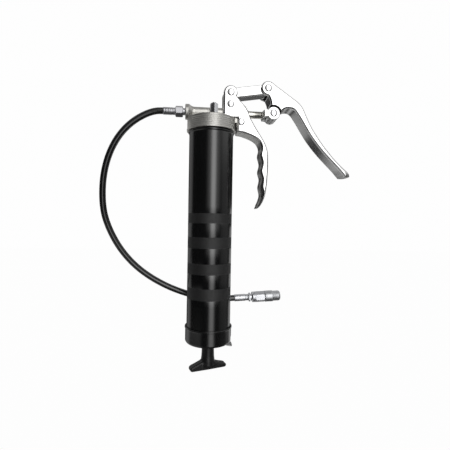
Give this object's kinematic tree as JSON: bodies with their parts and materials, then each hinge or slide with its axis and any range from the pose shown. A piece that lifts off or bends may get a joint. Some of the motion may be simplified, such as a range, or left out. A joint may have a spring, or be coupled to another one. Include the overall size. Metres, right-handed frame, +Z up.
{
  "type": "pistol grip grease gun",
  "caption": "One-hand lever grease gun: black cartridge barrel, die-cast head with floating squeeze lever, rod-handled follower, whip hose and hydraulic coupler.",
  "frame": {"origin": "barrel axis at the lower face of the end cap's rim", "axes": "+Z up the barrel towards the head, +X towards the squeeze lever, -Y the side shown in the main view"},
  "size_m": [0.3317, 0.0776, 0.3752],
  "materials": {
    "black_paint": "gloss black enamel",
    "black_plastic": "moulded black plastic, slight sheen",
    "zinc_casting": "warm grey die casting, turned ring and as-cast body",
    "polished_casting": "polished bright casting",
    "steel_plated": "bright zinc plate",
    "steel_rod": "ground and plated rod",
    "spring_steel": "drawn spring wire",
    "rubber": "smooth black hose rubber",
    "seal_rubber": "nitrile seal",
    "brass_bush": "turned brass"
  },
  "bodies": {
    "root": {"barrel_tube": "black_paint", "barrel_end_cap": "black_paint", "rod_bushing": "brass_bush", "latch_pivot": "steel_plated", "latch_spring": "spring_steel", "follower_spring": "spring_steel", "head_casting": "zinc_casting", "head_gasket": "seal_rubber", "plunger_packing": "seal_rubber", "packing_nut": "brass_bush", "outlet_check_spring": "spring_steel", "hose_adapter": "steel_plated", "hose_ferrule_inlet": "steel_plated", "hose": "rubber", "hose_ferrule_outlet": "steel_plated", "hose_tip_fitting": "steel_plated", "coupler_body": "steel_plated", "coupler_sleeve": "steel_plated", "coupler_spring": "spring_steel", "vent_valve_body": "steel_plated", "vent_valve_spring": "spring_steel", "grip_casting": "polished_casting", "grip_rivets": "steel_plated", "link_pin_grip": "steel_plated", "plunger_return_spring": "spring_steel"},
    "link": {"top_link": "polished_casting"},
    "lever": {"lever": "polished_casting", "link_pin_lever": "steel_plated"},
    "plunger": {"pump_plunger": "steel_rod", "plunger_clevis": "polished_casting", "clevis_pin": "steel_plated", "spring_collar": "steel_plated"},
    "follower": {"follower_lower_plate": "steel_plated", "follower_cup": "seal_rubber", "follower_upper_plate": "steel_plated"},
    "rod": {"follower_rod": "steel_rod", "rod_nut": "steel_plated", "tee_handle": "black_plastic"},
    "vent_stem": {"vent_valve_stem": "steel_plated"},
    "check_ball": {"outlet_check_ball": "steel_plated"},
    "jaws": {"coupler_jaws": "steel_plated", "coupler_seal": "seal_rubber"},
    "latch": {"rod_release_latch": "steel_plated"}
  },
  "joints": [
    {"name": "link_swing", "type": "hinge", "parent": "root", "child": "link", "pos_m": [0.0235, 0, 0.3217], "axis": [0, 1, 0], "range_deg": [-1.5, 1.5]},
    {"name": "lever_squeeze", "type": "hinge", "parent": "link", "child": "lever", "pos_m": [0.0718, 0, 0.3295], "axis": [0, 1, 0], "range_deg": [0, 30]},
    {"name": "plunger_stroke", "type": "slide", "parent": "root", "child": "plunger", "axis": [-1, 0, 0], "range_m": [0, 0.017], "deforming": ["plunger_return_spring"]},
    {"name": "follower_slide", "type": "slide", "parent": "root", "child": "follower", "axis": [0, 0, -1], "range_m": [0, 0.215], "deforming": ["follower_spring"]},
    {"name": "tee_handle_turn", "type": "hinge", "parent": "follower", "child": "rod", "pos_m": [0, 0, 0.1035], "axis": [0, 0, 1], "range_deg": [0, 90]},
    {"name": "vent_press", "type": "slide", "parent": "root", "child": "vent_stem", "axis": [0, 0, -1], "range_m": [0, 0.0012], "deforming": ["vent_valve_spring"]},
    {"name": "check_ball_lift", "type": "slide", "parent": "root", "child": "check_ball", "axis": [-1, 0, 0], "range_m": [0, 0.0012], "deforming": ["outlet_check_spring"]},
    {"name": "coupler_jaw_travel", "type": "slide", "parent": "root", "child": "jaws", "axis": [-0.9986, 0, -0.0523], "range_m": [0, 0.0015], "deforming": ["coupler_spring"]},
    {"name": "latch_press", "type": "hinge", "parent": "root", "child": "latch", "pos_m": [-0.011, 0, 0.0058], "axis": [0, -1, 0], "range_deg": [0, 3.5], "deforming": ["latch_spring"]}
  ],
  "couplings": [
    {"joint": "link_swing", "follows": "lever_squeeze", "ratio": -0.014},
    {"joint": "plunger_stroke", "follows": "lever_squeeze", "m_per_rad": 0.0319}
  ]
}
